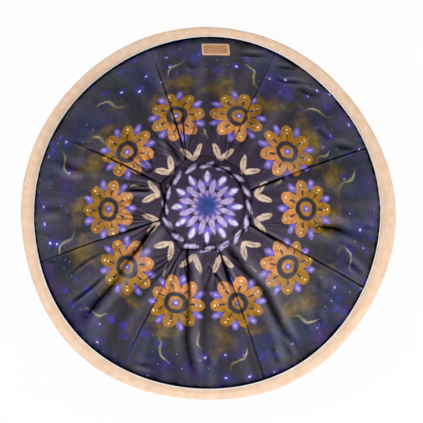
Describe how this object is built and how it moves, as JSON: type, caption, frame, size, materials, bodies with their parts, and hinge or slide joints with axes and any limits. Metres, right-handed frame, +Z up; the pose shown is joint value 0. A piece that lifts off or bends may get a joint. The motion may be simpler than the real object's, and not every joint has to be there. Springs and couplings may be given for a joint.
{
  "type": "handpan",
  "caption": "Steel handpan with central ding, ring of tone fields and gu port, wearing a fitted printed cloth cover with a felt rim band, sewn darts and a leather tag.",
  "frame": {"origin": "on the instrument's axis, on the surface that the lower shell's lip stands on", "axes": "+Z up the instrument's axis through the ding, -Y towards the player, +X to the player's right"},
  "size_m": [0.5441, 0.5442, 0.2326],
  "materials": {
    "nitrided_steel": "nitrided, satin, bronze to blue-grey",
    "adhesive": "cured structural adhesive, dark",
    "printed_fabric": "printed stretch polyester, slight sheen",
    "felt_band": "brushed suede-like felt, matte",
    "piping": "white cotton piping",
    "hem_fabric": "matte knit",
    "elastic": "covered elastic cord",
    "leather": "vegetable-tanned, smooth"
  },
  "bodies": {
    "instrument": {"lower_shell": "nitrided_steel", "upper_shell": "nitrided_steel", "rim_bond": "adhesive"},
    "cover": {"printed_panel": "printed_fabric", "rim_band": "felt_band", "edge_piping": "piping", "hem_casing": "hem_fabric", "hem_elastic": "elastic", "leather_tag": "leather"}
  },
  "joints": [
    {"name": "cover_lift", "type": "slide", "parent": "instrument", "child": "cover", "axis": [0, 0, 1], "range_m": [0, 0.15], "deforming": ["hem_casing", "hem_elastic"]}
  ]
}
